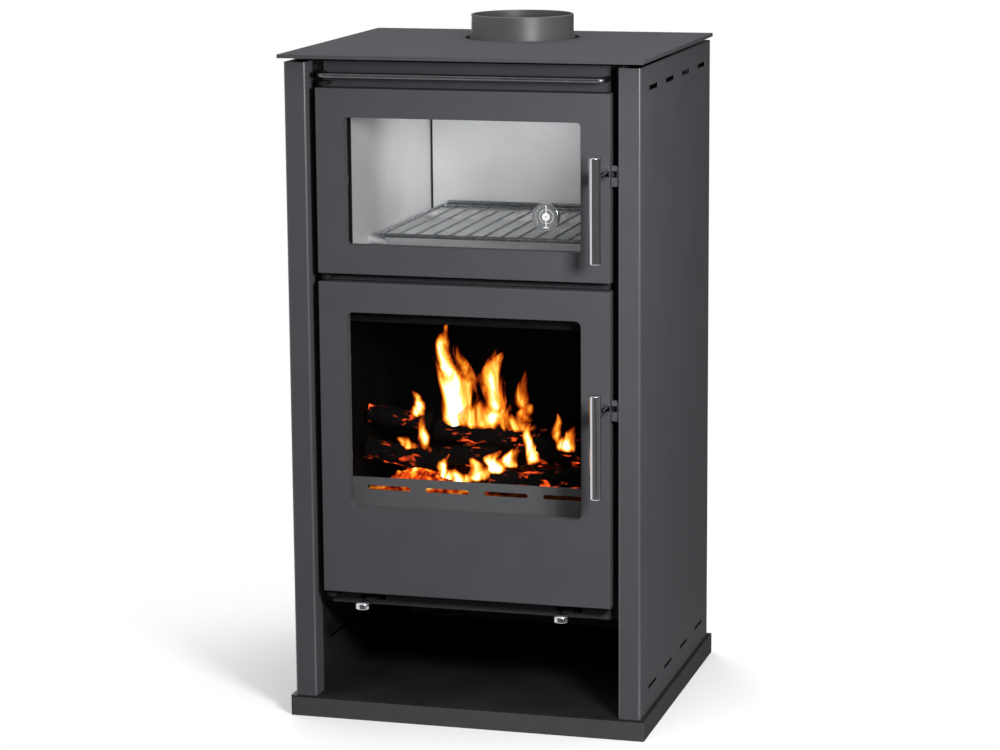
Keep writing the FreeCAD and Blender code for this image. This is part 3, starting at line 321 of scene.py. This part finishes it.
# charred split wood: nearly black, cracked along its length, glowing in some of the cracks
def charMaterial():
    look = {"crackMm": 9, "crackDetail": 4.0, "crackStretch": (0.45, 1, 1), "crackSpan": (0.54, 0.64),
            "heatMm": 34, "heatSpan": (0.5, 0.66), "power": 2.4, "relief": 0.7, "deepMm": 2,
            "char": "#0a0807", "glow": "#f5501c", "rough": 0.95, "shine": 0.1}
    material, tree = startMaterial("charredSplitWood")
    cracks = grain(tree, look["crackMm"], look["crackDetail"], look["crackStretch"])
    heat = grain(tree, look["heatMm"])
    line, zone = [
        addNode(tree, "ShaderNodeMapRange",
                values={"From Min": low, "From Max": high, "To Min": 0, "To Max": 1},
                links={"Value": source.outputs["Fac"]}).outputs["Result"]
        for source, (low, high) in ((cracks, look["crackSpan"]), (heat, look["heatSpan"]))]
    glow = addNode(tree, "ShaderNodeMath", {"operation": "MULTIPLY"}, {}, {0: line, 1: zone})
    power = addNode(tree, "ShaderNodeMath", {"operation": "MULTIPLY"}, {1: look["power"]},
                    {0: glow.outputs["Value"]})
    bump = addNode(tree, "ShaderNodeBump",
                   values={"Strength": look["relief"], "Distance": look["deepMm"] * mm},
                   links={"Height": cracks.outputs["Fac"]})
    endMaterial(tree, {"Base Color": linear(look["char"]), "Roughness": look["rough"],
                       "Specular IOR Level": look["shine"], "Emission Color": linear(look["glow"])},
                {"Emission Strength": power.outputs["Value"], "Normal": bump.outputs["Normal"]})
    return material


# the stops of a colour ramp, from its first to its last
def setStops(ramp, stops):
    for stop, (place, code) in zip(ramp.elements, (stops[0], stops[-1])):
        stop.position = place
        stop.color = linear(code)
    for place, code in stops[1:-1]:
        ramp.elements.new(place).color = linear(code)


# a bed of embers: red, with yellow-white hot spots and dark ash between, as the layer "burn" gives it
def emberMaterial():
    look = {"lumpMm": 14, "lumpDetail": 4.0, "power": 1.9, "ash": "#0c0807", "rough": 0.95, "shine": 0.0,
            "stops": ((0.3, "#160402"), (0.42, "#7a1606"), (0.54, "#ee5212"), (0.64, "#ffa726"),
                      (0.72, "#fff0c0"))}
    material, tree = startMaterial("glowingEmbers")
    heat = grain(tree, look["lumpMm"], look["lumpDetail"])
    colour = addNode(tree, "ShaderNodeValToRGB", links={"Fac": heat.outputs["Fac"]})
    setStops(colour.color_ramp, look["stops"])
    layer = addNode(tree, "ShaderNodeAttribute", {"attribute_name": "burn"})
    power = addNode(tree, "ShaderNodeMath", {"operation": "MULTIPLY"}, {1: look["power"]},
                    {0: layer.outputs["Fac"]})
    endMaterial(tree, {"Base Color": linear(look["ash"]), "Roughness": look["rough"],
                       "Specular IOR Level": look["shine"]},
                {"Emission Color": colour.outputs["Color"], "Emission Strength": power.outputs["Value"]})
    return material


# wood flame: yellow-white in the core and clear at the edge, as the layer "burn" gives it, with wisps
def flameMaterial():
    look = {"wispMm": 24, "wispDetail": 3.0, "wispStretch": (1, 1, 0.42), "wispSwirl": 1.1, "power": 1.7,
            "wander": {"From Min": 0.28, "From Max": 0.72, "To Min": -0.5, "To Max": 0.42},
            "cover": {"From Min": 0.08, "From Max": 0.62, "To Min": 0, "To Max": 0.97},
            "stops": ((0.12, "#8a1f05"), (0.3, "#dc5a12"), (0.5, "#f98f22"), (0.72, "#ffd25c"),
                      (0.92, "#fffbe6"))}
    material, tree = startMaterial("woodFlame")
    layer = addNode(tree, "ShaderNodeAttribute", {"attribute_name": "burn"})
    wisps = grain(tree, look["wispMm"], look["wispDetail"], look["wispStretch"], look["wispSwirl"])
    wander = addNode(tree, "ShaderNodeMapRange", values=look["wander"],
                     links={"Value": wisps.outputs["Fac"]})
    heat = addNode(tree, "ShaderNodeMath", {"operation": "ADD", "use_clamp": True}, {},
                   {0: layer.outputs["Fac"], 1: wander.outputs["Result"]})
    colour = addNode(tree, "ShaderNodeValToRGB", links={"Fac": heat.outputs["Value"]})
    setStops(colour.color_ramp, look["stops"])
    cover = addNode(tree, "ShaderNodeMapRange", values=look["cover"], links={"Value": heat.outputs["Value"]})
    endMaterial(tree, {"Base Color": linear("#000000"), "Roughness": 1.0, "Specular IOR Level": 0.0,
                       "Emission Strength": look["power"]},
                {"Emission Color": colour.outputs["Color"], "Alpha": cover.outputs["Result"]})
    return material


char = charMaterial()
embers = emberMaterial()
flame = flameMaterial()


# one log: a round bar from start to end, roughened by noise that its seed shifts
def log(name, setting, seed):
    bark = {"sides": 20, "rings": 25, "roughScale": 45, "roughShare": 0.3, "noise": (1.0, 2.0, 4)}
    start, end = [Vector(setting[key]) * mm for key in ("start", "end")]
    radius = setting["radius"] * mm
    axis = (end - start).normalized()
    side = axis.cross(up).normalized()
    turn = Matrix((side.cross(axis), side, axis)).transposed()
    bm = bmesh.new()
    bmesh.ops.create_cone(bm, cap_ends=True, segments=bark["sides"], radius1=radius, radius2=radius,
                          depth=(end - start).length)
    lengthwise = [edge for edge in bm.edges if edge.verts[0].co.z * edge.verts[1].co.z < 0]
    bmesh.ops.subdivide_edges(bm, edges=lengthwise, cuts=bark["rings"] - 2, use_grid_fill=True)
    for corner in bm.verts:
        way = turn @ Vector((corner.co.x, corner.co.y, 0)).normalized()
        base = (start + end) / 2 + turn @ corner.co
        rough = noise.fractal(base * bark["roughScale"] + Vector((seed, 0, 0)), *bark["noise"])
        corner.co = base + way * radius * bark["roughShare"] * rough
    makePiece(name, bm, char)


logs = {
    "logUpperLeft": {"start": (-178, -96, 414), "end": (-88, -84, 404), "radius": 13},
    "logLowerLeft": {"start": (-178, -112, 366), "end": (-66, -98, 350), "radius": 15},
    "logMiddle": {"start": (-80, -92, 394), "end": (66, -80, 383), "radius": 14},
    "logUnder": {"start": (-72, -96, 356), "end": (10, -84, 366), "radius": 13},
    "logRight": {"start": (46, -96, 382), "end": (150, -90, 372), "radius": 13},
    "logFrontRight": {"start": (8, -110, 326), "end": (150, -104, 340), "radius": 15},
    "logRear": {"start": (-120, -30, 350), "end": (120, -10, 360), "radius": 26}}
for seed, (name, setting) in enumerate(logs.items(), 1):
    log(name, setting, seed)


# a lumpy bed on the grate with one hill, which is where it glows
def emberBed():
    bed = {"span": ((-172, 172), (-154, 120)), "steps": 110, "floor": 298, "deep": 4, "lump": 4,
           "lumpScale": 0.07, "noise": (0.7, 2.1, 5), "hillAt": (-92, -104), "hillReach": (62, 30),
           "hillHigh": 40, "hillLump": 7, "glow": 0.01, "hillGlow": 1.2}
    bm = bmesh.new()
    burn = bm.verts.layers.float.new("burn")
    bmesh.ops.create_grid(bm, x_segments=bed["steps"], y_segments=bed["steps"], size=1)
    for corner in bm.verts:
        x, y = [low + (high - low) * (at + 1) / 2 for (low, high), at in zip(bed["span"], corner.co)]
        rough = noise.fractal(Vector((x, y, 0)) * bed["lumpScale"], *bed["noise"])
        far = [(at - peak) / reach for at, peak, reach in zip((x, y), bed["hillAt"], bed["hillReach"])]
        hill = math.exp(-far[0] ** 2 - far[1] ** 2)
        lump = (bed["lump"] + bed["hillLump"] * hill) * rough
        z = bed["floor"] + max(0, bed["deep"] + lump + bed["hillHigh"] * hill)
        corner.co = Vector((x, y, z)) * mm
        corner[burn] = min(1.0, bed["glow"] + bed["hillGlow"] * hill)
    makePiece("emberBed", bm, embers, facing=up)


emberBed()


# one flame: a thin curved sheet that narrows upwards and sways, with its heat kept per corner
# u runs from -1 to 1 across the sheet and t from 0 at its foot to 1 at its tip
def tongue(name, setting, seed):
    shape = {"across": 16, "along": 40, "foot": 0.55, "belly": 1.6, "bellyFade": 2.2, "tipPower": 2.2,
             "tipRound": 0.8, "sway": 0.22, "swayTurn": 5.5, "leanBend": 1.4, "hollow": 0.25, "waveMm": 4,
             "waveTurn": 3, "rimPower": 1.8, "coolPower": 0.45, "footHeat": 0.35, "footRise": 6}
    fullTurn = 6.28
    phase = random.Random(seed).uniform(0, fullTurn)
    baseX, baseY, baseZ = setting["base"]
    bm = bmesh.new()
    burn = bm.verts.layers.float.new("burn")
    bmesh.ops.create_grid(bm, x_segments=shape["across"], y_segments=shape["along"], size=1)
    for corner in bm.verts:
        u = corner.co.x
        t = min(1.0, max(0.0, (corner.co.y + 1) / 2))
        belly = shape["foot"] + shape["belly"] * t * math.exp(-shape["bellyFade"] * t)
        wide = setting["wide"] / 2 * belly * (1 - t ** shape["tipPower"]) ** shape["tipRound"]
        sway = setting["wide"] * shape["sway"] * t * math.sin(phase + shape["swayTurn"] * t)
        x = baseX + setting["lean"] * t ** shape["leanBend"] + sway + u * wide
        wave = shape["waveMm"] * math.sin(phase + shape["waveTurn"] * t)
        y = baseY + shape["hollow"] * wide * u * u + wave
        corner.co = Vector((x, y, baseZ + setting["high"] * t)) * mm
        rim = max(0.0, 1 - abs(u) ** shape["rimPower"])
        foot = min(1.0, shape["footHeat"] + shape["footRise"] * t)
        corner[burn] = setting["heat"] * rim * (1 - t) ** shape["coolPower"] * foot
    makePiece(name, bm, flame, facing=front)


flames = {
    "flameTall": {"base": (-51, -102, 398), "high": 155, "wide": 61, "lean": -6, "heat": 1.25},
    "flameTallBack": {"base": (-40, -92, 398), "high": 125, "wide": 58, "lean": 4, "heat": 0.7},
    "flameSecond": {"base": (3, -102, 402), "high": 132, "wide": 55, "lean": 17, "heat": 1.0},
    "flameSecondBack": {"base": (8, -90, 402), "high": 110, "wide": 70, "lean": 4, "heat": 0.6},
    "flameBand": {"base": (-24, -96, 400), "high": 52, "wide": 110, "lean": 0, "heat": 0.75},
    "flameLeft": {"base": (-104, -100, 414), "high": 40, "wide": 35, "lean": -6, "heat": 0.9},
    "flameLeftLow": {"base": (-88, -114, 364), "high": 65, "wide": 32, "lean": -4, "heat": 0.75},
    "flameRightLow": {"base": (67, -112, 354), "high": 63, "wide": 32, "lean": -4, "heat": 1.1},
    "flameFarRightA": {"base": (110, -106, 376), "high": 54, "wide": 29, "lean": -12, "heat": 0.9},
    "flameFarRightB": {"base": (120, -110, 376), "high": 47, "wide": 32, "lean": 2, "heat": 0.95},
    "flameRightHigh": {"base": (50, -96, 412), "high": 76, "wide": 44, "lean": -4, "heat": 0.55},
    "flameRightBand": {"base": (40, -98, 398), "high": 43, "wide": 84, "lean": 6, "heat": 0.62},
    "flameFrontA": {"base": (-58, -118, 324), "high": 43, "wide": 35, "lean": 2, "heat": 1.15},
    "flameFrontB": {"base": (-38, -118, 320), "high": 29, "wide": 44, "lean": 0, "heat": 1.1},
    "flameFrontC": {"base": (-12, -118, 328), "high": 36, "wide": 46, "lean": 4, "heat": 1.1},
    "flameFrontD": {"base": (14, -118, 340), "high": 40, "wide": 46, "lean": 4, "heat": 1.1},
    "flameFrontE": {"base": (38, -116, 350), "high": 34, "wide": 41, "lean": 2, "heat": 1.1},
    "flameStreak": {"base": (-112, -118, 368), "high": 25, "wide": 44, "lean": 0, "heat": 0.95}}
for seed, (name, setting) in enumerate(flames.items(), 1):
    tongue(name, setting, seed)
print("stage: dial marks, oven seams and fire")


# 1 for rays that see the background: from the camera, a reflection or through glass
def seenRay(tree):
    path = addNode(tree, "ShaderNodeLightPath")
    seen = addNode(tree, "ShaderNodeMath", {"operation": "ADD", "use_clamp": True}, {},
                   {0: path.outputs["Is Camera Ray"], 1: path.outputs["Is Glossy Ray"]})
    return addNode(tree, "ShaderNodeMath", {"operation": "ADD", "use_clamp": True}, {},
                   {0: seen.outputs["Value"], 1: path.outputs["Is Transmission Ray"]}).outputs["Value"]


def makeStage(name, bm, material):
    mesh = bpy.data.meshes.new(name)
    bm.to_mesh(mesh)
    bm.free()
    mesh.materials.append(material)
    made = bpy.data.objects.new(name, mesh)
    bpy.context.scene.collection.objects.link(made)
    return made


# a white floor that keeps the shadow, fades out round the stove and throws little light up
def setFloor():
    look = {"half": 3.0, "full": 0.36, "gone": 0.85, "unseen": "#383838", "seen": "#f9f9f9"}
    material, tree = startMaterial("whiteStudioFloor")
    tone = addNode(tree, "ShaderNodeMix", {"data_type": "RGBA"},
                   {6: linear(look["unseen"]), 7: linear(look["seen"])}, {0: seenRay(tree)})
    place = addNode(tree, "ShaderNodeTexCoord")
    away = addNode(tree, "ShaderNodeVectorMath", {"operation": "LENGTH"}, {}, {0: place.outputs["Object"]})
    fade = addNode(tree, "ShaderNodeMapRange", {"interpolation_type": "SMOOTHSTEP"},
                   {"From Min": look["full"], "From Max": look["gone"], "To Min": 1.0, "To Max": 0.0},
                   {"Value": away.outputs["Value"]})
    endMaterial(tree, {"Roughness": 1.0, "Specular IOR Level": 0.0},
                {"Base Color": tone.outputs[2], "Alpha": fade.outputs["Result"]})
    bm = bmesh.new()
    bmesh.ops.create_grid(bm, x_segments=1, y_segments=1, size=look["half"])
    makeStage("floor", bm, material)


# soft sky that is brighter overhead, and white wherever the background is seen
def setWorld():
    sky = {"horizon": 0.03, "overhead": 1.25, "seen": 1.0}
    world = bpy.data.worlds.new("studio")
    bpy.context.scene.world = world
    world.use_nodes = True
    tree = world.node_tree
    tree.nodes.clear()
    way = addNode(tree, "ShaderNodeTexCoord")
    parts = addNode(tree, "ShaderNodeSeparateXYZ", links={"Vector": way.outputs["Generated"]})
    span = {"From Min": 0, "From Max": 1, "To Min": sky["horizon"], "To Max": sky["overhead"]}
    height = addNode(tree, "ShaderNodeMapRange", values=span, links={"Value": parts.outputs["Z"]})
    level = addNode(tree, "ShaderNodeMix", {"data_type": "FLOAT"}, {3: sky["seen"]},
                    {0: seenRay(tree), 2: height.outputs["Result"]})
    back = addNode(tree, "ShaderNodeBackground", values={"Color": linear("#ffffff")},
                   links={"Strength": level.outputs[0]})
    addNode(tree, "ShaderNodeOutputWorld", links={"Surface": back.outputs["Background"]})


def lamp(name, setting):
    light = bpy.data.lights.new(name, "AREA")
    light.energy = setting["watts"]
    light.shape = "RECTANGLE"
    light.size, light.size_y = setting["size"]
    light.spread = math.radians(setting.get("spread", 180))
    made = bpy.data.objects.new(name, light)
    made.location = setting["at"]
    aim = Vector(setting["to"]) - Vector(setting["at"])
    made.rotation_euler = aim.to_track_quat("-Z", "Y").to_euler()
    made.visible_camera = False
    bpy.context.scene.collection.objects.link(made)


# cloths round the set, seen by reflections only, so that chrome and paint have something to mirror
def cloth(name, setting):
    steps = 20
    first, last = [math.radians(degrees) for degrees in setting["turn"]]
    foot = Vector((math.sin(first), -math.cos(first), 0)) * setting["far"]
    bm = bmesh.new()
    post = [bm.verts.new(foot + up * z) for z in setting["z"]]
    bmesh.ops.spin(bm, geom=post + [bm.edges.new(post)], cent=(0, 0, 0), axis=up, angle=last - first,
                   steps=steps)
    weave = finish(name + "Weave", {
        "dark": setting["dark"], "light": setting["light"], "toneMm": setting["patchMm"], "reliefMm": 2,
        "relief": 0.0, "deepMm": 1, "smooth": 1.0, "rough": 1.0, "shine": 0.0})
    made = makeStage(name, bm, weave)
    made.visible_camera = False
    made.visible_diffuse = False
    made.visible_shadow = False
    made.visible_transmission = False


setFloor()
setWorld()
lamp("keyLamp", {"watts": 24.5, "size": (0.35, 0.35), "at": (1.0, -1.35, 1.08), "to": (0, -0.2, 0.5)})
lamp("topLamp", {"watts": 7.2, "size": (1.2, 1.2), "at": (0, 0.1, 2.6), "to": (0, 0.1, 0)})
lamp("ovenLamp", {"watts": 0.25, "size": (0.2, 0.08), "at": (0.05, -0.06, 0.84), "to": (-0.13, 0.185, 0.75),
                  "spread": 95})
lamp("rearLamp", {"watts": 14, "size": (0.6, 0.6), "at": (-0.9, 1.9, 0.7), "to": (0, 0.2, 0.45)})
cloth("frontCloth", {"turn": (-40, 120), "far": 3.2, "z": (-0.9, 2.4), "dark": "#666666", "light": "#cccccc",
                     "patchMm": 600})
cloth("rearCloth", {"turn": (120, 230), "far": 3.2, "z": (-1.6, 2.4), "dark": "#4a4a4a", "light": "#565656",
                    "patchMm": 900})


def setCamera():
    view = {"at": (1.1660, -4.1933, 1.3112), "to": (-0.00236, -0.025, 0.4641), "roll": -0.4306,
            "lens": 110.87, "sensor": 36}
    data = bpy.data.cameras.new("photoCamera")
    data.sensor_width = view["sensor"]
    data.lens = view["lens"]
    camera = bpy.data.objects.new("photoCamera", data)
    bpy.context.scene.collection.objects.link(camera)
    look = (Vector(view["to"]) - Vector(view["at"])).normalized()
    right = look.cross(up).normalized()
    upward = right.cross(look)
    turn = math.radians(view["roll"])
    across = right * math.cos(turn) + upward * math.sin(turn)
    over = upward * math.cos(turn) - right * math.sin(turn)
    basis = Matrix((across, over, -look)).transposed().to_4x4()
    camera.matrix_world = Matrix.Translation(view["at"]) @ basis
    bpy.context.scene.camera = camera


setCamera()
bpy.context.scene.view_settings.view_transform = "Standard"
print("stage: floor, lamps and camera")
